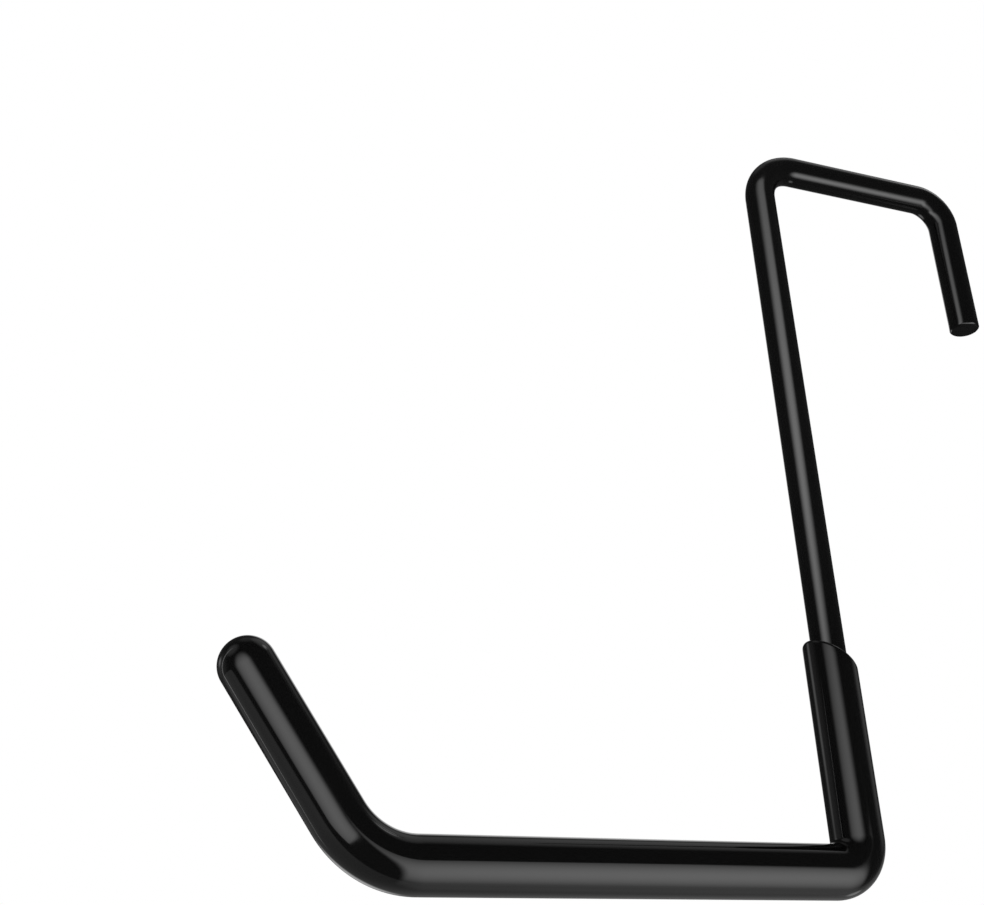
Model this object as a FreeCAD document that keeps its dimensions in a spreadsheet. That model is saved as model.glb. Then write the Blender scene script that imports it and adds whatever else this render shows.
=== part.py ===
import FreeCAD, Part
import math
import os

import Sketcher

os.makedirs("parts", exist_ok=True)

# A utility hook bent from one round steel rod, with a vinyl sleeve over its lower half.
# The hook lies in the XZ plane. The origin is the middle of the top bar's underside, where
# the hook sits on a beam. +X runs from the shaft to the leg that drops behind the beam, the
# cradle reaches out along -X, and +Z is up.

doc = FreeCAD.newDocument("utility_hook")

# Driving dimensions, in millimetres and degrees
SIZES = [
    ("rod_dia", 8.0, "diameter of the steel rod"),
    ("beam_gap", 54.0, "clear width between the shaft and the leg"),
    ("leg_reach", 38.5, "underside of the top bar down to the leg's cut end"),
    ("hook_drop", 181.0, "underside of the top bar down to the top of the sleeved bar"),
    ("bar_length", 114.0, "shaft's axis to the arm corner, along the bar"),
    ("arm_length", 51.0, "arm corner to the sleeve's rounded tip, along the arm"),
    ("arm_rise", 57.5, "angle of the arm above the bar"),
    ("leg_bend_inner", 4.5, "inside radius of the bend into the leg, on the rod"),
    ("top_bend_inner", 7.6, "inside radius of the bend into the shaft, on the rod"),
    ("foot_bend_inner", 1.1, "inside radius of the foot bend, on the sleeve"),
    ("arm_bend_inner", 13.0, "inside radius of the bend into the arm, on the sleeve"),
    ("end_bevel", 0.5, "bevel round the rod's cut ends"),
    ("sleeve_wall", 1.95, "wall of the vinyl sleeve"),
    ("sleeve_clearance", 0.05, "radial clearance between the rod and the sleeve"),
    ("sleeve_rise", 43.5, "top of the sleeved bar up to the sleeve's end, at the shaft's axis"),
    ("sleeve_slant", 31.5, "slant of the sleeve's end from square, lower on the leg's side"),
    ("sleeve_lip", 1.15, "rounding of the sleeve's outer lip"),
    ("tip_wall", 3.6, "vinyl between the rod's end and the rounded tip"),
]

sheet = doc.addObject("Spreadsheet::Sheet", "sizes")
for row, (name, value, meaning) in enumerate(SIZES, start=1):
    sheet.set(f"A{row}", meaning)
    sheet.set(f"B{row}", str(value))
    sheet.setAlias(f"B{row}", name)
doc.recompute()

# Sizes that follow from the driving ones, as expressions on the sheet
ROD_RADIUS = "(sizes.rod_dia / 2)"
BORE_RADIUS = f"({ROD_RADIUS} + sizes.sleeve_clearance)"
SLEEVE_RADIUS = f"({BORE_RADIUS} + sizes.sleeve_wall)"
RISE = "(sizes.arm_rise * 1 deg)"
SLANT = "(sizes.sleeve_slant * 1 deg)"

# Distances from the origin: the shaft and the leg stand this far to either side of it
AXIS_OUT = f"(sizes.beam_gap / 2 + {ROD_RADIUS})"
BAR_DOWN = f"(sizes.hook_drop + {SLEEVE_RADIUS})"
LIP_DOWN = "(sizes.hook_drop - sizes.sleeve_rise)"

# How far the slanted end of the sleeve rises above, or falls below, its height on the axis
# at twice the sleeve's radius from it, and where the uncut sleeve starts above that
CUT_HALF_WIDTH = f"(2 * {SLEEVE_RADIUS})"
CUT_SWING = f"({CUT_HALF_WIDTH} * tan({SLANT}))"
BLANK_DOWN = f"({LIP_DOWN} - {CUT_SWING})"
CUT_TOP_DOWN = f"({BLANK_DOWN} - {SLEEVE_RADIUS})"

# Where the rod, its bore and the dome's centre end, along the arm from the arm corner
ROD_ON_ARM = "(sizes.arm_length - sizes.tip_wall)"
BORE_ON_ARM = f"({ROD_ON_ARM} + sizes.sleeve_clearance)"
DOME_ON_ARM = f"(sizes.arm_length - {SLEEVE_RADIUS})"

# Centreline radii of the four bends
LEG_BEND = f"(sizes.leg_bend_inner + {ROD_RADIUS})"
TOP_BEND = f"(sizes.top_bend_inner + {ROD_RADIUS})"
FOOT_BEND = f"(sizes.foot_bend_inner + {SLEEVE_RADIUS})"
ARM_BEND = f"(sizes.arm_bend_inner + {SLEEVE_RADIUS})"

# The rounding of the slanted lip takes at most this share of the wall, where the lip is sharpest
LIP_SHARE = 0.95
LIP_LIMIT = f"({LIP_SHARE} * sizes.sleeve_wall / cos({SLANT}) * tan(45 deg - {SLANT} / 2))"

# The numbers by which a constraint names a curve's start, end and centre
START, END, CENTRE = range(1, 4)
ORIGIN = (-1, 1)


def number(expression):
    """The present value of an expression on the sheet."""
    value = sheet.evalExpression(expression)
    return float(getattr(value, "Value", value))


def point(x, z):
    """A sketch point from two expressions, X across and Z up."""
    return FreeCAD.Vector(number(x), number(z), 0)


def new_sketch(body, name, role):
    """A sketch on one of the body's own origin planes."""
    plane = next(f for f in body.Origin.OriginFeatures if f.Role == role)
    sketch = body.newObject("Sketcher::SketchObject", name)
    sketch.AttachmentSupport = [(plane, "")]
    sketch.MapMode = "FlatFace"
    return sketch


def bind(sketch, name, kind, *where, size):
    """A dimension of the sketch, tied to an expression on the sheet."""
    index = sketch.addConstraint(Sketcher.Constraint(kind, *where, number(size)))
    sketch.renameConstraint(index, name)
    sketch.setExpression(f"Constraints.{name}", size)


def tie(sketch, kind, *where):
    sketch.addConstraint(Sketcher.Constraint(kind, *where))


def rounded(corner, before, after, radius):
    """The tangent arc that rounds a corner: its two ends, its middle and its turning sense."""
    back = (before - corner).normalize()
    ahead = (after - corner).normalize()
    half = back.getAngle(ahead) / 2
    run = radius / math.tan(half)
    depth = math.hypot(run, radius)
    centre = corner + (back + ahead).normalize() * depth
    middle = centre + (corner - centre).normalize() * radius
    turns_left = back.cross(ahead).z < 0
    return corner + back * run, middle, corner + ahead * run, turns_left


def draw_centreline(sketch, corners, radii):
    """Straight runs through the corners, joined by tangent arcs. Returns the runs and the arcs."""
    arcs = [rounded(corners[i], corners[i - 1], corners[i + 1], radii[i - 1])
            for i in range(1, len(corners) - 1)]
    starts = [corners[0]] + [arc[2] for arc in arcs]
    ends = [arc[0] for arc in arcs] + [corners[-1]]
    runs = [sketch.addGeometry(Part.LineSegment(a, b)) for a, b in zip(starts, ends)]
    bends = [sketch.addGeometry(Part.Arc(first, middle, last)) for first, middle, last, _ in arcs]
    for i, bend in enumerate(bends):
        # A sketch's arc always runs anticlockwise, so a right turn enters at its end
        enter, leave = (START, END) if arcs[i][3] else (END, START)
        tie(sketch, "Tangent", runs[i], END, bend, enter)
        tie(sketch, "Tangent", bend, leave, runs[i + 1], START)
    return runs, bends


def cradle_corners(arm_end):
    """The shaft's foot, the arm corner and a point that far along the arm."""
    arm_corner_x = f"-({AXIS_OUT} + sizes.bar_length)"
    return [
        point(f"-{AXIS_OUT}", f"-{BAR_DOWN}"),
        point(arm_corner_x, f"-{BAR_DOWN}"),
        point(f"{arm_corner_x} - {arm_end} * cos({RISE})", f"-{BAR_DOWN} + {arm_end} * sin({RISE})"),
    ]


def size_cradle(sketch, shaft, bar, arm, foot_bend, arm_bend, arm_end):
    """Fixes the shaft, bar and arm of a centreline and the two bends between them."""
    tie(sketch, "Vertical", shaft)
    tie(sketch, "Horizontal", bar)
    bind(sketch, "shaft_out", "DistanceX", shaft, START, *ORIGIN, size=AXIS_OUT)
    bind(sketch, "bar_down", "DistanceY", bar, START, *ORIGIN, size=BAR_DOWN)
    bind(sketch, "foot_bend", "Radius", foot_bend, size=FOOT_BEND)
    bind(sketch, "arm_bend", "Radius", arm_bend, size=ARM_BEND)
    corner = sketch.addGeometry(Part.Point(cradle_corners(arm_end)[1]), True)
    tie(sketch, "PointOnObject", corner, START, bar)
    tie(sketch, "PointOnObject", corner, START, arm)
    bind(sketch, "bar_length", "DistanceX", corner, START, shaft, END, size="sizes.bar_length")
    bind(sketch, "arm_end", "Distance", corner, START, arm, END, size=arm_end)
    bind(sketch, "arm_turn", "Angle", bar, END, arm, START, size=f"180 deg - {RISE}")


def draw_cradle(body, name, arm_end):
    """The centreline of the sleeve: down the shaft, along the bar and up the arm."""
    sketch = new_sketch(body, name, "XZ_Plane")
    corners = [point(f"-{AXIS_OUT}", f"-{BLANK_DOWN}")] + cradle_corners(arm_end)
    runs, bends = draw_centreline(sketch, corners, [number(FOOT_BEND), number(ARM_BEND)])
    size_cradle(sketch, *runs, *bends, arm_end)
    bind(sketch, "blank_down", "DistanceY", runs[0], START, *ORIGIN, size=BLANK_DOWN)
    return sketch


def draw_section(body, name, radius, down, left_of_origin):
    """A level circle round the shaft or the leg, that far below the origin."""
    sketch = new_sketch(body, name, "XY_Plane")
    sketch.setExpression("AttachmentOffset.Base.z", f"-{down}")
    side = -1 if left_of_origin else 1
    centre = FreeCAD.Vector(side * number(AXIS_OUT), 0, 0)
    circle = sketch.addGeometry(Part.Circle(centre, FreeCAD.Vector(0, 0, 1), number(radius)))
    span = ((circle, CENTRE) + ORIGIN) if left_of_origin else (ORIGIN + (circle, CENTRE))
    bind(sketch, "axis_out", "DistanceX", *span, size=AXIS_OUT)
    tie(sketch, "PointOnObject", circle, CENTRE, -1)
    bind(sketch, "section", "Radius", circle, size=radius)
    return sketch


def sweep(body, kind, name, section, centreline):
    """A round section carried along a centreline."""
    pipe = body.newObject(f"PartDesign::{kind}", name)
    pipe.Profile = section
    pipe.Spine = (centreline, [])
    doc.recompute()
    return pipe


def edges_where(shape, test):
    """The names of a shape's edges that pass a test."""
    return [f"Edge{i}" for i, edge in enumerate(shape.Edges, start=1) if test(edge)]


# Steel rod: leg, top bar, shaft, bar and arm, bent from one piece
rod = doc.addObject("PartDesign::Body", "steel_rod")
rod.Label = "steel_rod"

rod_line = new_sketch(rod, "rod_centreline", "XZ_Plane")
rod_corners = [
    point(AXIS_OUT, "-sizes.leg_reach"),
    point(AXIS_OUT, ROD_RADIUS),
    point(f"-{AXIS_OUT}", ROD_RADIUS),
] + cradle_corners(ROD_ON_ARM)
rod_radii = [number(radius) for radius in (LEG_BEND, TOP_BEND, FOOT_BEND, ARM_BEND)]
rod_runs, rod_bends = draw_centreline(rod_line, rod_corners, rod_radii)
leg, top_bar, shaft, bar, arm = rod_runs
tie(rod_line, "Vertical", leg)
tie(rod_line, "Horizontal", top_bar)
bind(rod_line, "leg_out", "DistanceX", *ORIGIN, leg, START, size=AXIS_OUT)
bind(rod_line, "leg_reach", "DistanceY", leg, START, *ORIGIN, size="sizes.leg_reach")
bind(rod_line, "top_up", "DistanceY", *ORIGIN, top_bar, START, size=ROD_RADIUS)
bind(rod_line, "leg_bend", "Radius", rod_bends[0], size=LEG_BEND)
bind(rod_line, "top_bend", "Radius", rod_bends[1], size=TOP_BEND)
size_cradle(rod_line, shaft, bar, arm, rod_bends[2], rod_bends[3], ROD_ON_ARM)

rod_section = draw_section(rod, "rod_section", ROD_RADIUS, "sizes.leg_reach", left_of_origin=False)
rod_sweep = sweep(rod, "AdditivePipe", "rod_sweep", rod_section, rod_line)

# The two flat cut ends, each with a small bevel round it
cut_ends = [face for face in rod_sweep.Shape.Faces if isinstance(face.Surface, Part.Plane)]
cut_rims = [rim for face in cut_ends for rim in face.Edges]
rod_bevels = rod.newObject("PartDesign::Chamfer", "rod_bevels")
rod_bevels.Base = (rod_sweep, edges_where(rod_sweep.Shape, lambda e: any(e.isSame(rim) for rim in cut_rims)))
rod_bevels.setExpression("Size", "sizes.end_bevel")
doc.recompute()

# Vinyl sleeve: a tube on the same centreline, closed by a dome at the arm's tip
sleeve = doc.addObject("PartDesign::Body", "vinyl_sleeve")
sleeve.Label = "vinyl_sleeve"

sleeve_line = draw_cradle(sleeve, "sleeve_centreline", DOME_ON_ARM)
sleeve_section = draw_section(sleeve, "sleeve_section", SLEEVE_RADIUS, BLANK_DOWN, left_of_origin=True)
sleeve_sweep = sweep(sleeve, "AdditivePipe", "sleeve_sweep", sleeve_section, sleeve_line)

# The dome is a quarter disc turned about the arm's axis
DOME_X = f"-({AXIS_OUT} + sizes.bar_length + {DOME_ON_ARM} * cos({RISE}))"
DOME_Z = f"-({BAR_DOWN} - {DOME_ON_ARM} * sin({RISE}))"
DOME_LEAN = f"{SLEEVE_RADIUS} * cos({RISE})"
DOME_LIFT = f"{SLEEVE_RADIUS} * sin({RISE})"
dome_sketch = new_sketch(sleeve, "dome_section", "XZ_Plane")
dome_centre = point(DOME_X, DOME_Z)
dome_tip = point(f"{DOME_X} - {DOME_LEAN}", f"{DOME_Z} + {DOME_LIFT}")
dome_side = point(f"{DOME_X} - {DOME_LIFT}", f"{DOME_Z} - {DOME_LEAN}")
dome_bulge = dome_centre + ((dome_tip + dome_side) / 2 - dome_centre).normalize() * number(SLEEVE_RADIUS)
axis_edge = dome_sketch.addGeometry(Part.LineSegment(dome_centre, dome_tip))
dome_arc = dome_sketch.addGeometry(Part.Arc(dome_tip, dome_bulge, dome_side))
base_edge = dome_sketch.addGeometry(Part.LineSegment(dome_side, dome_centre))
tie(dome_sketch, "Coincident", axis_edge, END, dome_arc, START)
tie(dome_sketch, "Coincident", dome_arc, END, base_edge, START)
tie(dome_sketch, "Coincident", base_edge, END, axis_edge, START)
tie(dome_sketch, "Coincident", dome_arc, CENTRE, axis_edge, START)
tie(dome_sketch, "Perpendicular", axis_edge, base_edge)
bind(dome_sketch, "dome_out", "DistanceX", axis_edge, START, *ORIGIN, size=f"-({DOME_X})")
bind(dome_sketch, "dome_down", "DistanceY", axis_edge, START, *ORIGIN, size=f"-({DOME_Z})")
bind(dome_sketch, "dome_radius", "Radius", dome_arc, size=SLEEVE_RADIUS)
bind(dome_sketch, "tip_out", "DistanceX", axis_edge, END, axis_edge, START, size=DOME_LEAN)
dome = sleeve.newObject("PartDesign::Revolution", "sleeve_dome")
dome.Profile = dome_sketch
dome.ReferenceAxis = (dome_sketch, ["Edge1"])
dome.Angle = 360
doc.recompute()

bore_line = draw_cradle(sleeve, "bore_centreline", BORE_ON_ARM)
bore_section = draw_section(sleeve, "bore_section", BORE_RADIUS, BLANK_DOWN, left_of_origin=True)
sweep(sleeve, "SubtractivePipe", "sleeve_bore", bore_section, bore_line)

# The upper end is cut on a slant, lower on the leg's side
cut_sketch = new_sketch(sleeve, "slant_section", "XZ_Plane")
CUT_LEFT = f"-({AXIS_OUT} + {CUT_HALF_WIDTH})"
CUT_RIGHT = f"(-{AXIS_OUT} + {CUT_HALF_WIDTH})"
cut_points = [
    point(CUT_LEFT, f"-({LIP_DOWN} - {CUT_SWING})"),
    point(CUT_RIGHT, f"-({LIP_DOWN} + {CUT_SWING})"),
    point(CUT_RIGHT, f"-{CUT_TOP_DOWN}"),
    point(CUT_LEFT, f"-{CUT_TOP_DOWN}"),
]
slant, cut_right, cut_top, cut_left = (
    cut_sketch.addGeometry(Part.LineSegment(cut_points[i], cut_points[(i + 1) % len(cut_points)]))
    for i in range(len(cut_points)))
for here, following in ((slant, cut_right), (cut_right, cut_top), (cut_top, cut_left), (cut_left, slant)):
    tie(cut_sketch, "Coincident", here, END, following, START)
tie(cut_sketch, "Vertical", cut_right)
tie(cut_sketch, "Horizontal", cut_top)
tie(cut_sketch, "Vertical", cut_left)
bind(cut_sketch, "cut_left", "DistanceX", slant, START, *ORIGIN, size=f"-({CUT_LEFT})")
bind(cut_sketch, "cut_width", "DistanceX", slant, START, slant, END, size=f"2 * {CUT_HALF_WIDTH}")
bind(cut_sketch, "slant_high", "DistanceY", slant, START, *ORIGIN, size=f"{LIP_DOWN} - {CUT_SWING}")
bind(cut_sketch, "slant_low", "DistanceY", slant, END, *ORIGIN, size=f"{LIP_DOWN} + {CUT_SWING}")
bind(cut_sketch, "cut_top", "DistanceY", cut_top, START, *ORIGIN, size=CUT_TOP_DOWN)
sleeve_cut = sleeve.newObject("PartDesign::Pocket", "sleeve_cut")
sleeve_cut.Profile = cut_sketch
sleeve_cut.Type = "ThroughAll"
sleeve_cut.SideType = "Symmetric"
doc.recompute()

# The outer lip of the slanted end is rounded. Of the sleeve's flat faces, that end is the one on the
# shaft, and the other one closes the bore at the arm's tip
flat_faces = [face for face in sleeve_cut.Shape.Faces if isinstance(face.Surface, Part.Plane)]
slant_face = max(flat_faces, key=lambda face: face.CenterOfMass.x)
lip = max(slant_face.Edges, key=lambda edge: edge.Length)
sleeve_lip = sleeve.newObject("PartDesign::Fillet", "sleeve_lip")
sleeve_lip.Base = (sleeve_cut, edges_where(sleeve_cut.Shape, lambda e: e.isSame(lip)))
sleeve_lip.setExpression("Radius", f"min(sizes.sleeve_lip; {LIP_LIMIT})")
doc.recompute()

# Every feature has to be sound before anything is written
for thing in doc.Objects:
    if {"Invalid", "Error"} & set(thing.State):
        raise SystemExit(f"{thing.Name} did not build: {thing.State}")

for body in (rod, sleeve):
    if body.Shape.isNull() or not body.Shape.isValid() or len(body.Shape.Solids) != 1:
        raise SystemExit(f"{body.Label} is not one valid solid")

for body in (rod, sleeve):
    box = body.Shape.optimalBoundingBox(True, False)
    print(f"{body.Label}: {body.Shape.Volume / 1000:.3f} cm3, "
          f"x {box.XMin:.2f} to {box.XMax:.2f}, y {box.YMin:.2f} to {box.YMax:.2f}, "
          f"z {box.ZMin:.2f} to {box.ZMax:.2f}")
    body.Shape.exportStep(f"parts/{body.Label}.step")
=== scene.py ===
"""The looks of the utility hook: a powder-coated steel rod with a gloss vinyl sleeve."""

import bpy
import numpy as np
from mathutils import Matrix, Vector


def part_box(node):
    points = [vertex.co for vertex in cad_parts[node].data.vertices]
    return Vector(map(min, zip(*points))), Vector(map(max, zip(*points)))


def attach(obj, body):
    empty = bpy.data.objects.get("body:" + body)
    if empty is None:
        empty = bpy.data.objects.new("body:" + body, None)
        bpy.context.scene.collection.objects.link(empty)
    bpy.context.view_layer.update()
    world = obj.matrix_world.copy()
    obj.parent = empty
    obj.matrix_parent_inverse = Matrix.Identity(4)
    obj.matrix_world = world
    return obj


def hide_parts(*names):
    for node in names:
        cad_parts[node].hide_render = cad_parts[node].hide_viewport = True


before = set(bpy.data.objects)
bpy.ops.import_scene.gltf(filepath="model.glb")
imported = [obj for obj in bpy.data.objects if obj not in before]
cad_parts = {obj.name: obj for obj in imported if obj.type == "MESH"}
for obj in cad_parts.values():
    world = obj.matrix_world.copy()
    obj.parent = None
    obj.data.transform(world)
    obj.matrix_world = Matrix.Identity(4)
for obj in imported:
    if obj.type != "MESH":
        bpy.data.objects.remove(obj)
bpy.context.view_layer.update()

MM = 0.001


def tenths(length):
    """A length of the frame in millimetres, to the tenth that the hook is drawn to."""
    return round(length / MM, 1)


# Sizes in millimetres, read from the frame. The origin is the underside of the top bar.
rod_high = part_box("steel_rod")[1]
sleeve_low, sleeve_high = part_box("vinyl_sleeve")
ROD_RADIUS = tenths(rod_high.z) / 2
SLEEVE_RADIUS = tenths(sleeve_high.y)
LEG_X = tenths(rod_high.x) - ROD_RADIUS
SHAFT_X = tenths(sleeve_high.x) - SLEEVE_RADIUS
BAR_Z = tenths(sleeve_low.z) + SLEEVE_RADIUS

# How the rod is bent and cut, in millimetres and degrees. Each bend has the radius of its inner
# side, plus that of the rod or the sleeve, whichever is seen there.
LEG_END_Z = -38.5
LEG_BEND = 4.5 + ROD_RADIUS
TOP_BEND = 7.6 + ROD_RADIUS
FOOT_BEND = 1.1 + SLEEVE_RADIUS
ARM_BEND = 13.0 + SLEEVE_RADIUS
BAR_LENGTH = 114.0
ARM_LENGTH = 51.0
ARM_RISE = 57.5
CUT_BEVEL = 0.5

# The sleeve: its bore, its slanted end on the shaft and its closed tip
BORE_RADIUS = ROD_RADIUS + 0.05
SLANT = np.radians(31.5)
SLANT_FADE = 16.0
SLEEVE_END_Z = BAR_Z + SLEEVE_RADIUS + 43.5
OUTER_LIP = 1.15
INNER_LIP = 0.35
TIP_WALL = 3.6

# How finely the surfaces are divided: points round a circle, steps in millimetres along the
# runs and the bends, and points over each small form
ROUND = 96
STRAIGHT_STEP = 1.2
BEND_STEP = 0.32
CUT_FACE_POINTS = 14
CUT_BEVEL_POINTS = 13
INNER_LIP_POINTS = 9
OUTER_LIP_POINTS = 17
TIP_POINTS = 25
BORE_FLOOR_POINTS = 6

# A cut face has even rings out to the first of these shares, and a last one at the second,
# close to its edge. The bevel's exponent makes it nearly straight, with two soft corners.
CUT_FACE_EVEN = 0.96
CUT_FACE_LAST = 0.992
CUT_BEVEL_EXPONENT = 1.35


def heading_of(run):
    """The angle of a run in the XZ plane, from +X towards +Z."""
    return np.arctan2(run[1], run[0])


def bent_line(corners, radii):
    """A line in the XZ plane: straight runs through the corners, joined by tangent arcs.

    On a run the heading stays the same. On an arc it turns by distance over radius, and the
    point moves along a circle. Returns a function that gives the points and the headings at an
    array of distances, the distances where the pieces meet, and which pieces are arcs.
    """
    corners = [np.array(corner, float) for corner in corners]
    pieces = []
    travelled = 0.0
    here = corners[0]
    for i, radius in enumerate(radii, start=1):
        ahead = corners[i] - corners[i - 1]
        after = corners[i + 1] - corners[i]
        heading = heading_of(ahead)
        turn = (heading_of(after) - heading + np.pi) % (2 * np.pi) - np.pi
        trim = radius * np.tan(abs(turn) / 2)
        bend_start = corners[i] - ahead / np.linalg.norm(ahead) * trim
        pieces.append((travelled, here, heading, 0.0))
        travelled += np.linalg.norm(bend_start - here)
        pieces.append((travelled, bend_start, heading, np.sign(turn) / radius))
        travelled += radius * abs(turn)
        here = corners[i] + after / np.linalg.norm(after) * trim
    last = corners[-1] - here
    pieces.append((travelled, here, heading_of(last), 0.0))
    length = travelled + np.linalg.norm(last)

    def at(distance):
        points = np.zeros(distance.shape + (2,))
        headings = np.zeros(distance.shape)
        for start, origin, heading, curvature in pieces:
            inside = (distance >= start) | (start == 0)
            gone = distance[inside] - start
            now = heading + curvature * gone
            if curvature:
                x = (np.sin(now) - np.sin(heading)) / curvature
                z = (np.cos(heading) - np.cos(now)) / curvature
            else:
                x = gone * np.cos(heading)
                z = gone * np.sin(heading)
            points[inside] = origin + np.stack([x, z], axis=-1)
            headings[inside] = now
        return points, headings

    joints = np.array([piece[0] for piece in pieces] + [length])
    bends = np.array([piece[3] != 0 for piece in pieces])
    return at, joints, bends


def spaced(joints, bends, first, last):
    """Distances from first to last, close together on the bends and wider on the runs."""
    runs = []
    for start, end, bend in zip(joints[:-1], joints[1:], bends):
        start, end = max(start, first), min(end, last)
        if end > start:
            step = BEND_STEP if bend else STRAIGHT_STEP
            count = max(2, int((end - start) / step))
            runs.append(np.linspace(start, end, count, endpoint=False))
    return np.append(np.concatenate(runs), last)


def once_round():
    """The angles of the points round a circle."""
    return np.linspace(0, 2 * np.pi, ROUND, endpoint=False)


def quarter_turn(points):
    """Even angles from 0 to a right angle, for the small forms that are arcs in section."""
    return np.linspace(0, np.pi / 2, points)


def spread(row_values):
    """One value a row, repeated all the way round."""
    return np.repeat(row_values[:, None], ROUND, axis=1)


def tube(name, at, distance, radius):
    """A closed surface of circles along a line.

    The point in row i and column j is the line's point at distance[i, j], plus radius[i, j] times
    (cos a * in-plane normal + sin a * Y), where a goes once round with the columns. The first and
    last rows have no radius and become one point each, which closes the ends.
    """
    angle = once_round()
    points, heading = at(distance)
    out = radius * np.cos(angle)
    x = points[..., 0] - out * np.sin(heading)
    z = points[..., 1] + out * np.cos(heading)
    y = radius * np.sin(angle)
    grid = np.stack([x, y, z], axis=-1) * MM
    vertices = np.concatenate([grid[:1, 0], grid[1:-1].reshape(-1, 3), grid[-1:, 0]])

    ring = np.arange(ROUND)
    after = (ring + 1) % ROUND
    row = 1 + np.arange(len(grid) - 3)[:, None] * ROUND
    quads = np.stack([row + ring, row + ROUND + ring, row + ROUND + after, row + after], axis=-1)
    last = len(vertices) - 1
    final_row = last - ROUND
    start_fan = np.stack([np.zeros_like(ring), 1 + ring, 1 + after], axis=-1)
    end_fan = np.stack([final_row + ring, np.full_like(ring, last), final_row + after], axis=-1)

    mesh = bpy.data.meshes.new(name)
    faces = quads.reshape(-1, 4).tolist() + start_fan.tolist() + end_fan.tolist()
    mesh.from_pydata(vertices.tolist(), [], faces)
    mesh.polygons.foreach_set("use_smooth", np.ones(len(mesh.polygons), bool))
    mesh.update()
    piece = bpy.data.objects.new(name, mesh)
    bpy.context.scene.collection.objects.link(piece)
    return piece


def cradle_corners(arm_end):
    """The shaft's foot, the arm corner and a point that far along the arm."""
    rise = np.radians(ARM_RISE)
    corner = np.array([SHAFT_X - BAR_LENGTH, BAR_Z])
    return [(SHAFT_X, BAR_Z), corner, corner + arm_end * np.array([-np.cos(rise), np.sin(rise)])]


def cut_end():
    """Depths and radii from the middle of a cut face, over its bevel, to the rod's radius.

    With t over a right angle and n the exponent, the bevel is the superellipse arc of
    depth = bevel * (1 - cos t ** (2 / n)) and radius = face + bevel * sin t ** (2 / n).
    """
    face = ROD_RADIUS - CUT_BEVEL
    turn = quarter_turn(CUT_BEVEL_POINTS)
    power = 2 / CUT_BEVEL_EXPONENT
    bevel_depth = CUT_BEVEL * (1 - np.cos(turn) ** power)
    bevel_radius = face + CUT_BEVEL * np.sin(turn) ** power
    face_radius = np.append(np.linspace(0, CUT_FACE_EVEN, CUT_FACE_POINTS), CUT_FACE_LAST) * face
    depth = np.append(np.zeros(len(face_radius)), bevel_depth)
    return depth, np.append(face_radius, bevel_radius)


def make_rod():
    """The coated rod: leg, top bar, shaft, bar and arm, with a bevel round each cut end.

    It is a tube of the rod's radius, whose first and last rows follow the cut end's section.
    """
    corners = [(LEG_X, LEG_END_Z), (LEG_X, ROD_RADIUS), (SHAFT_X, ROD_RADIUS)]
    corners += cradle_corners(ARM_LENGTH - TIP_WALL)
    at, joints, bends = bent_line(corners, [LEG_BEND, TOP_BEND, FOOT_BEND, ARM_BEND])
    length = joints[-1]
    depth, radius = cut_end()
    middle = spaced(joints, bends, CUT_BEVEL, length - CUT_BEVEL)[1:-1]
    distance = np.concatenate([depth, middle, length - depth[::-1]])
    radius = np.concatenate([radius, np.full(len(middle), ROD_RADIUS), radius[::-1]])
    return tube("coated_rod", at, spread(distance), spread(radius))


def lip_profile():
    """The sleeve's open end in section, from the bore to the outer wall.

    Gives the depth below the slanted plane and the radius: a small quarter circle out of the
    bore, a narrow flat, and a larger quarter circle into the outer wall.
    """
    turn = quarter_turn(INNER_LIP_POINTS)
    inner_depth = INNER_LIP * (1 - np.sin(turn))
    inner_radius = BORE_RADIUS + INNER_LIP * (1 - np.cos(turn))
    turn = quarter_turn(OUTER_LIP_POINTS)
    outer_depth = OUTER_LIP * (1 - np.cos(turn))
    outer_radius = SLEEVE_RADIUS - OUTER_LIP * (1 - np.sin(turn))
    return np.append(inner_depth, outer_depth), np.append(inner_radius, outer_radius)


def make_sleeve():
    """The vinyl sleeve: bore, slanted lip, outer wall and round tip, as one closed skin.

    The tip is a half ball: distance = wall end + R sin t and radius = R cos t. Near the open end
    each circle is sheared into the slant: a point moves along the shaft by its distance from the
    axis across the slant times the slant's tangent, and this fades out down the shaft by a
    smooth step.
    """
    corners = [(SHAFT_X, SLEEVE_END_Z)] + cradle_corners(ARM_LENGTH)
    at, joints, bends = bent_line(corners, [FOOT_BEND, ARM_BEND])
    length = joints[-1]
    wall_end = length - SLEEVE_RADIUS
    bore_end = length - TIP_WALL

    bore = spaced(joints, bends, INNER_LIP, bore_end)[1:]
    wall = spaced(joints, bends, OUTER_LIP, wall_end)[1:]
    turn = quarter_turn(TIP_POINTS)[1:]
    lip_depth, lip_radius = lip_profile()
    bore_floor = np.linspace(0, 1, BORE_FLOOR_POINTS)[:-1] * BORE_RADIUS
    distance = np.concatenate([
        np.full(len(bore_floor), bore_end), bore[::-1],
        lip_depth, wall, wall_end + SLEEVE_RADIUS * np.sin(turn),
    ])
    radius = np.concatenate([
        bore_floor, np.full(len(bore), BORE_RADIUS),
        lip_radius, np.full(len(wall), SLEEVE_RADIUS), SLEEVE_RADIUS * np.cos(turn),
    ])
    radius[-1] = 0

    distance, radius = spread(distance), spread(radius)
    fade = np.clip(1 - distance / SLANT_FADE, 0, 1)
    fade = fade * fade * (3 - 2 * fade)
    towards_leg = radius * np.cos(once_round())
    distance = distance + fade * towards_leg * np.tan(SLANT)
    return tube("vinyl_skin", at, distance, radius)


# The shared grain. A noise's detail is its count of octaves, and the swell moves the roughness
# from smooth to rough between its low and high values.
PEEL_DETAIL = 3.0
SWELL_DETAIL = 1.0
SWELL_LOW = 0.3
SWELL_HIGH = 0.7

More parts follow.
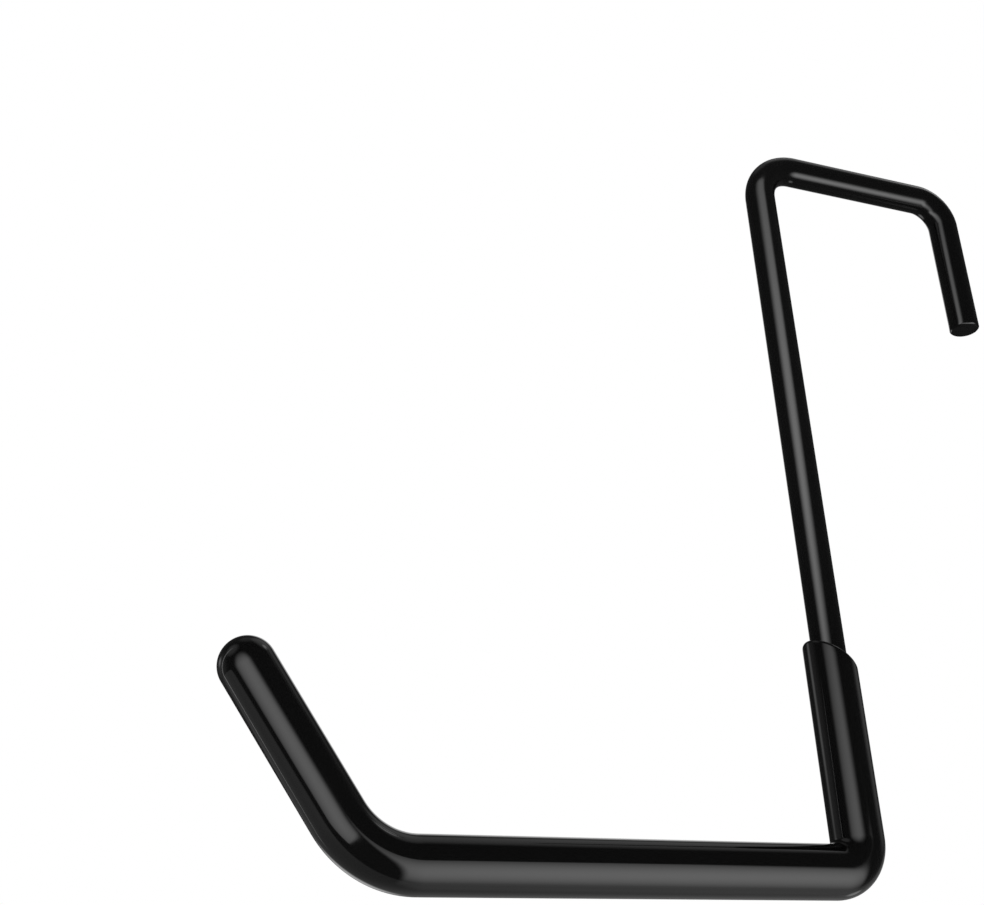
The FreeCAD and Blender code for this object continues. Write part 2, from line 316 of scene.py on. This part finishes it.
# The two blacks that both finishes drift between, and their refractive indices
DEEP_BLACK = (0.0015, 0.0015, 0.0015, 1)
SOFT_BLACK = (0.0022, 0.0022, 0.0022, 1)
COAT_INDEX = 1.55
VINYL_INDEX = 1.5


def socket_group(name, inputs, outputs):
    """A shader node group with the named inputs and outputs."""
    group = bpy.data.node_groups.new(name, "ShaderNodeTree")
    for label, kind in inputs:
        group.interface.new_socket(label, in_out="INPUT", socket_type=kind)
    for label, kind in outputs:
        group.interface.new_socket(label, in_out="OUTPUT", socket_type=kind)
    return group, group.nodes.new("NodeGroupInput"), group.nodes.new("NodeGroupOutput")


def surface_grain():
    """Shared by both finishes: a fine peel and a long swell, as tone, roughness and height."""
    inputs = [
        ("Vector", "NodeSocketVector"),
        ("Peel size", "NodeSocketFloat"), ("Swell size", "NodeSocketFloat"),
        ("Dark", "NodeSocketColor"), ("Light", "NodeSocketColor"),
        ("Smooth", "NodeSocketFloat"), ("Rough", "NodeSocketFloat"),
        ("Peel share", "NodeSocketFloat"),
    ]
    outputs = [
        ("Color", "NodeSocketColor"),
        ("Roughness", "NodeSocketFloat"), ("Height", "NodeSocketFloat"),
    ]
    group, given, result = socket_group("surface_grain", inputs, outputs)
    nodes, links = group.nodes, group.links
    noises = []
    for label, detail in (("Peel size", PEEL_DETAIL), ("Swell size", SWELL_DETAIL)):
        scale = nodes.new("ShaderNodeMath")
        scale.operation = "DIVIDE"
        scale.inputs[0].default_value = 1.0
        links.new(given.outputs[label], scale.inputs[1])
        noise = nodes.new("ShaderNodeTexNoise")
        noise.inputs["Detail"].default_value = detail
        links.new(given.outputs["Vector"], noise.inputs["Vector"])
        links.new(scale.outputs[0], noise.inputs["Scale"])
        noises.append(noise)
    peel, swell = noises

    tone = nodes.new("ShaderNodeMix")
    tone.data_type = "RGBA"
    links.new(swell.outputs["Fac"], tone.inputs["Factor"])
    links.new(given.outputs["Dark"], tone.inputs["A"])
    links.new(given.outputs["Light"], tone.inputs["B"])
    links.new(tone.outputs["Result"], result.inputs["Color"])

    gloss = nodes.new("ShaderNodeMapRange")
    links.new(swell.outputs["Fac"], gloss.inputs["Value"])
    gloss.inputs["From Min"].default_value = SWELL_LOW
    gloss.inputs["From Max"].default_value = SWELL_HIGH
    links.new(given.outputs["Smooth"], gloss.inputs["To Min"])
    links.new(given.outputs["Rough"], gloss.inputs["To Max"])
    links.new(gloss.outputs["Result"], result.inputs["Roughness"])

    height = nodes.new("ShaderNodeMix")
    height.data_type = "FLOAT"
    links.new(given.outputs["Peel share"], height.inputs["Factor"])
    links.new(swell.outputs["Fac"], height.inputs["A"])
    links.new(peel.outputs["Fac"], height.inputs["B"])
    links.new(height.outputs["Result"], result.inputs["Height"])
    return group


def finish_material(name, grain, values, bump_distance, index_of_refraction):
    """A dielectric finish whose tone, roughness and bump come from the shared grain."""
    material = bpy.data.materials.new(name)
    material.use_nodes = True
    nodes, links = material.node_tree.nodes, material.node_tree.links
    shader = nodes["Principled BSDF"]
    shader.inputs["IOR"].default_value = index_of_refraction
    place = nodes.new("ShaderNodeTexCoord")
    pattern = nodes.new("ShaderNodeGroup")
    pattern.node_tree = grain
    links.new(place.outputs["Object"], pattern.inputs["Vector"])
    for label, value in values.items():
        pattern.inputs[label].default_value = value
    bump = nodes.new("ShaderNodeBump")
    bump.inputs["Strength"].default_value = 1.0
    bump.inputs["Distance"].default_value = bump_distance
    links.new(pattern.outputs["Color"], shader.inputs["Base Color"])
    links.new(pattern.outputs["Roughness"], shader.inputs["Roughness"])
    links.new(pattern.outputs["Height"], bump.inputs["Height"])
    links.new(bump.outputs["Normal"], shader.inputs["Normal"])
    return material


def powder_coat(grain):
    """Half-gloss black powder coat with a fine orange peel."""
    values = {
        "Peel size": 1.6 * MM, "Swell size": 14 * MM, "Peel share": 0.5,
        "Dark": DEEP_BLACK, "Light": SOFT_BLACK,
        "Smooth": 0.13, "Rough": 0.17,
    }
    return finish_material(
        "black_powder_coat", grain, values,
        bump_distance=0.012 * MM, index_of_refraction=COAT_INDEX)


def gloss_vinyl(grain):
    """Glossy black vinyl, with the slow swell of a skin that was drawn over the rod."""
    values = {
        "Peel size": 3.0 * MM, "Swell size": 16 * MM, "Peel share": 0.15,
        "Dark": DEEP_BLACK, "Light": SOFT_BLACK,
        "Smooth": 0.05, "Rough": 0.09,
    }
    return finish_material(
        "black_gloss_vinyl", grain, values,
        bump_distance=0.03 * MM, index_of_refraction=VINYL_INDEX)


# The camera as the photograph was taken: below the hook and to its left, looking up. The
# sensor is in millimetres, the photograph in pixels, and what the camera sees in metres.
CAMERA_PLACE = Vector((-226.4, -268.4, -231.6)) * MM
CAMERA_AHEAD = Vector((0.3485, 0.8357, 0.4244))
CAMERA_UP = Vector((-0.1175, -0.4102, 0.9044))
SENSOR_WIDTH = 36.0
PHOTO_WIDTH = 984
FOCAL_PIXELS = 1410
NEAREST_SEEN = 0.01
FURTHEST_SEEN = 50


def make_camera():
    """The camera, with its lens as wide as the photograph's width and focal length make it."""
    data = bpy.data.cameras.new("camera")
    data.sensor_width = SENSOR_WIDTH
    data.lens = SENSOR_WIDTH * FOCAL_PIXELS / PHOTO_WIDTH
    data.clip_start = NEAREST_SEEN
    data.clip_end = FURTHEST_SEEN
    camera = bpy.data.objects.new("camera", data)
    back = -CAMERA_AHEAD.normalized()
    right = CAMERA_UP.cross(back).normalized()
    turn = Matrix((right, back.cross(right), back)).transposed()
    camera.matrix_world = Matrix.Translation(CAMERA_PLACE) @ turn.to_4x4()
    bpy.context.scene.collection.objects.link(camera)
    bpy.context.scene.camera = camera


def direction(azimuth, elevation):
    """A unit vector from two angles in degrees.

    Azimuth 0 is +Y and 90 is +X, and the elevation is above the horizon.
    """
    around, above = np.radians(azimuth), np.radians(elevation)
    return Vector((np.sin(around) * np.cos(above), np.cos(around) * np.cos(above), np.sin(above)))


def math_node(nodes, links, kind, operation, *inputs):
    """A math or vector math node: each input is a socket to link or a value to set."""
    node = nodes.new(kind)
    node.operation = operation
    for socket, given in zip(node.inputs, inputs):
        if isinstance(given, bpy.types.NodeSocket):
            links.new(given, socket)
        else:
            socket.default_value = given
    return node


def soft_step(nodes, links, value, low, high, result_low=0.0, result_high=1.0):
    """A smooth step of the value from one result to the other between low and high."""
    step = nodes.new("ShaderNodeMapRange")
    step.interpolation_type = "SMOOTHSTEP"
    links.new(value, step.inputs["Value"])
    step.inputs["From Min"].default_value = low
    step.inputs["From Max"].default_value = high
    step.inputs["To Min"].default_value = result_low
    step.inputs["To Max"].default_value = result_high
    return step.outputs["Result"]


# What the far lights face, and how far off they stand, in metres
HOOK_MIDDLE = Vector((-70, 0, -100)) * MM
FAR = 3.0

# What the two near lights face, and how far off they stand
UPPER_SHAFT = Vector((SHAFT_X, 0, -50)) * MM
SHAFT_NEAR = 44 * MM
SLEEVE_TIP = Vector((-169, 0, -149)) * MM
TIP_NEAR = 45 * MM

# The sleeve's weak glows: name, azimuth and elevation, inner and outer angle, and radiance
SLEEVE_GLOWS = [
    ("right_glow", (90, 15), 0, 24, 0.20),
    ("left_glow", (-56, 1), 0, 38, 0.16),
    ("left_edge_glow", (-44, 14), 2, 11, 0.60),
    ("low_back_glow", (46, -40), 2, 52, 0.12),
    ("high_left_glow", (-92, 41), 10, 25, 0.26),
]


class LightFace:
    """The plane of a light, square to its aim and at a distance from the point that it lights.

    aim is an azimuth and an elevation. Places on the plane are given to the right and up, in
    shares of the distance.
    """

    def __init__(self, aim, origin=HOOK_MIDDLE, distance=FAR):
        self.origin = origin
        self.distance = distance
        self.away = direction(*aim)
        self.level = Vector((0, 0, 1)).cross(self.away).normalized()
        self.upright = self.away.cross(self.level)

    def axis(self, right, up):
        """The vector that goes so far to the right and up in the plane."""
        return self.level * float(right) + self.upright * float(up)

    def place(self, right, up):
        """The point on the plane, in the scene's own coordinates."""
        return self.origin + (self.away + self.axis(right, up)) * self.distance

    def fit_light(self, name, low, high, lit):
        """A light over the rectangle from low to high that shines on one set of pieces."""
        data = bpy.data.lights.new(name, "AREA")
        data.shape = "RECTANGLE"
        data.size, data.size_y = (high - low) * self.distance
        # With this energy, the strength of the emission is the radiance
        data.energy = 4 * data.size * data.size_y
        data.use_nodes = True
        light = bpy.data.objects.new(name, data)
        turn = Matrix((self.level, self.upright, self.away)).transposed().to_4x4()
        light.matrix_world = Matrix.Translation(self.place(*(low + high) / 2)) @ turn
        light.visible_camera = False
        light.light_linking.receiver_collection = lit
        bpy.context.scene.collection.objects.link(light)
        return data.node_tree.nodes, data.node_tree.links

    def distance_to(self, nodes, links, right, up):
        """Two sockets: the lit point of the plane, and its distance to a place on it."""
        here = nodes.new("ShaderNodeNewGeometry").outputs["Position"]
        spot = self.place(right, up)
        reach = math_node(nodes, links, "ShaderNodeVectorMath", "DISTANCE", here, spot)
        return here, reach.outputs["Value"]


def make_glow(name, aim, inner, outer, radiance, lit):
    """A far round light: even up to the inner angle, and none left at the outer one."""
    face = LightFace(aim)
    inner, outer = np.tan(np.radians([inner, outer]))
    nodes, links = face.fit_light(name, np.array([-outer, -outer]), np.array([outer, outer]), lit)
    _, reach = face.distance_to(nodes, links, 0, 0)
    glow = soft_step(nodes, links, reach, inner * FAR, outer * FAR, radiance, 0.0)
    links.new(glow, nodes["Emission"].inputs["Strength"])


def make_panel(name, face, corners, softness, hot_glow, edge_glow, hot_spot, hot_reach, lit):
    """A light that glows inside a polygon on its face.

    Each side of the polygon fades over its own softness. The glow is the radiance, and goes from
    the hot spot's down to the edge's over hot_reach.
    """
    corners = np.array(corners)
    low = corners.min(axis=0) - max(softness)
    high = corners.max(axis=0) + max(softness)
    nodes, links = face.fit_light(name, low, high, lit)
    here, reach = face.distance_to(nodes, links, *hot_spot)
    glow = soft_step(nodes, links, reach, 0.0, hot_reach * face.distance, hot_glow, edge_glow)
    centre = corners.mean(axis=0)
    for corner, after, fade in zip(corners, np.roll(corners, -1, axis=0), softness):
        along = after - corner
        across = np.array([-along[1], along[0]]) / np.linalg.norm(along)
        inward = across * np.sign((centre - corner) @ across)
        start = math_node(
            nodes, links, "ShaderNodeVectorMath", "SUBTRACT", here, face.place(*corner))
        depth = math_node(
            nodes, links, "ShaderNodeVectorMath", "DOT_PRODUCT",
            start.outputs["Vector"], face.axis(*inward))
        fade = fade * face.distance
        side = soft_step(nodes, links, depth.outputs["Value"], -fade, fade)
        product = math_node(nodes, links, "ShaderNodeMath", "MULTIPLY", glow, side)
        glow = product.outputs["Value"]
    links.new(glow, nodes["Emission"].inputs["Strength"])


def strip_corners(start, end, width):
    """The corners of a straight strip, from the middles of its two ends and its width."""
    start, end = np.array(start), np.array(end)
    along = (end - start) / np.linalg.norm(end - start)
    aside = width / 2 * np.array([-along[1], along[0]])
    return [start + aside, end + aside, end - aside, start - aside]


def lit_set(name, piece):
    """A set with the piece that some lights are kept to."""
    lit = bpy.data.collections.new(name)
    lit.objects.link(piece)
    return lit


def light_sleeve(lit):
    """The lights of the vinyl.

    A low panel at the right, one at the left, a dim one for the ground, weak glows, and a thin
    strip beside the tip.
    """
    make_panel(
        "low_right_panel", LightFace(aim=(146, -30)),
        corners=[(-0.59, 0.74), (-0.05, 0.78), (0.8, -0.3), (1.3, -1.85), (-0.05, -1.4)],
        softness=[0.03, 0.11, 0.75, 0.8, 0.06],
        hot_glow=2.1, edge_glow=0.33, hot_spot=(0.0, 0.0), hot_reach=1.13, lit=lit)
    make_panel(
        "left_panel", LightFace(aim=(-150, -5)),
        corners=[(0.7, 0.05), (-0.05, -0.6), (-0.5, -0.35), (-0.7, 1.6)],
        softness=[0.015, 0.015, 0.2, 0.25],
        hot_glow=1.8, edge_glow=0.0, hot_spot=(0.15, -0.1), hot_reach=1.2, lit=lit)
    make_panel(
        "ground", LightFace(aim=(5, -53)),
        corners=strip_corners(start=(-3.4, 2.05), end=(6.0, -3.55), width=2.3),
        softness=[0.05, 0.2, 0.08, 0.2],
        hot_glow=0.28, edge_glow=0.10, hot_spot=(3.4, -2.0), hot_reach=5.5, lit=lit)
    for glow in SLEEVE_GLOWS:
        make_glow(*glow, lit)
    make_panel(
        "thin_strip", LightFace(aim=(-67, 3), origin=SLEEVE_TIP, distance=TIP_NEAR),
        corners=strip_corners(start=(-0.81, -1.8), end=(0.45, 1.0), width=0.053),
        softness=[0.012, 0.3, 0.012, 0.3],
        hot_glow=1.4, edge_glow=1.0, hot_spot=(0.0, 0.0), hot_reach=2.0, lit=lit)


def light_rod(lit):
    """The lights of the coated rod: a soft strip close by, a low panel in front, and a glow."""
    make_panel(
        "near_strip", LightFace(aim=(-143, 0), origin=UPPER_SHAFT, distance=SHAFT_NEAR),
        corners=[(-0.54, -1.95), (0.12, -1.95), (0.96, 1.4), (0.96, 2.3), (-0.13, 2.3)],
        softness=[0.1, 0.40, 0.40, 0.14, 0.40],
        hot_glow=2.3, edge_glow=1.15, hot_spot=(0.0, -0.6), hot_reach=2.8, lit=lit)
    make_panel(
        "low_front_panel", LightFace(aim=(180, -58)),
        corners=[(0.46, -0.27), (0.46, 0.13), (-0.80, 0.27), (-0.80, -0.13)],
        softness=[0.18, 0.2, 0.25, 0.2],
        hot_glow=2.4, edge_glow=1.45, hot_spot=(0.5, -0.07), hot_reach=0.75, lit=lit)
    make_glow("low_right_glow", (134, -39), 0, 25, 2.5, lit)


# The floor's own light: its strength, how wide the sky it comes from is, and its tilt
OVERHEAD_STRENGTH = 3.2
OVERHEAD_WIDTH = np.radians(30)
OVERHEAD_TILT = np.radians([12.0, -10.0, 0.0])


def light_floor(lit):
    """An even light from overhead, so broad that the hook's shadow stays soft."""
    data = bpy.data.lights.new("overhead", "SUN")
    data.energy = OVERHEAD_STRENGTH
    data.angle = OVERHEAD_WIDTH
    light = bpy.data.objects.new("overhead", data)
    light.rotation_euler = OVERHEAD_TILT
    light.light_linking.receiver_collection = lit
    bpy.context.scene.collection.objects.link(light)


# The floor's height and half its width in metres, and its finish
FLOOR_Z = -0.28
FLOOR_HALF = 40.0
FLOOR_COLOUR = (0.82, 0.82, 0.81, 1)
FLOOR_ROUGHNESS = 0.9


def make_floor():
    """A plain pale floor, well below the hook and below the camera's view."""
    mesh = bpy.data.meshes.new("floor")
    signs = [(-1, -1), (1, -1), (1, 1), (-1, 1)]
    corners = [(x * FLOOR_HALF, y * FLOOR_HALF, FLOOR_Z) for x, y in signs]
    mesh.from_pydata(corners, [], [(0, 1, 2, 3)])
    floor = bpy.data.objects.new("floor", mesh)
    bpy.context.scene.collection.objects.link(floor)
    material = bpy.data.materials.new("pale_floor")
    material.use_nodes = True
    shader = material.node_tree.nodes["Principled BSDF"]
    shader.inputs["Base Color"].default_value = FLOOR_COLOUR
    shader.inputs["Roughness"].default_value = FLOOR_ROUGHNESS
    mesh.materials.append(material)
    floor.visible_glossy = False
    floor.visible_shadow = False
    return floor


WHITE = (1, 1, 1, 1)
ROOM_GLOW = 0.05

# The room's soft glows, which give form to the hook's back and top: azimuth and elevation,
# inner and outer angle, and radiance
BACK_GLOWS = [
    ((26, 28), 8, 20, 0.90),
    ((75, 58), 8, 27, 0.35),
    ((0, -20), 3, 17, 1.20),
    ((62, -38), 2, 10, 1.00),
    ((90, 50), 2, 9, 1.00),
    ((0, 80), 5, 20, 0.12),
]


def make_world():
    """White behind the hook, and for all other rays a dim room with soft glows."""
    world = bpy.data.worlds.new("studio")
    bpy.context.scene.world = world
    world.use_nodes = True
    nodes, links = world.node_tree.nodes, world.node_tree.links
    ray = nodes.new("ShaderNodeTexCoord").outputs["Generated"]
    glow = ROOM_GLOW
    for aim, inner, outer, radiance in BACK_GLOWS:
        inner, outer = np.cos(np.radians([inner, outer]))
        towards = math_node(
            nodes, links, "ShaderNodeVectorMath", "DOT_PRODUCT", ray, direction(*aim))
        spot = soft_step(nodes, links, towards.outputs["Value"], outer, inner, 0.0, radiance)
        glow = math_node(nodes, links, "ShaderNodeMath", "ADD", glow, spot).outputs["Value"]

    rays = nodes.new("ShaderNodeLightPath")
    strength = nodes.new("ShaderNodeMix")
    strength.data_type = "FLOAT"
    links.new(rays.outputs["Is Camera Ray"], strength.inputs["Factor"])
    links.new(glow, strength.inputs["A"])
    strength.inputs["B"].default_value = 1.0
    background = nodes["Background"]
    background.inputs["Color"].default_value = WHITE
    links.new(strength.outputs["Result"], background.inputs["Strength"])


rod = make_rod()
sleeve = make_sleeve()
grain = surface_grain()
rod.data.materials.append(powder_coat(grain))
sleeve.data.materials.append(gloss_vinyl(grain))
for piece, node, slot in (
        (rod, "steel_rod", "coated_steel"),
        (sleeve, "vinyl_sleeve", "gloss_vinyl")):
    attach(piece, "root")
    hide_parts(node)

make_camera()
make_world()
floor = make_floor()
light_sleeve(lit_set("lit_sleeve", sleeve))
light_rod(lit_set("lit_rod", rod))
light_floor(lit_set("lit_floor", floor))

bpy.context.scene.view_settings.view_transform = "Standard"
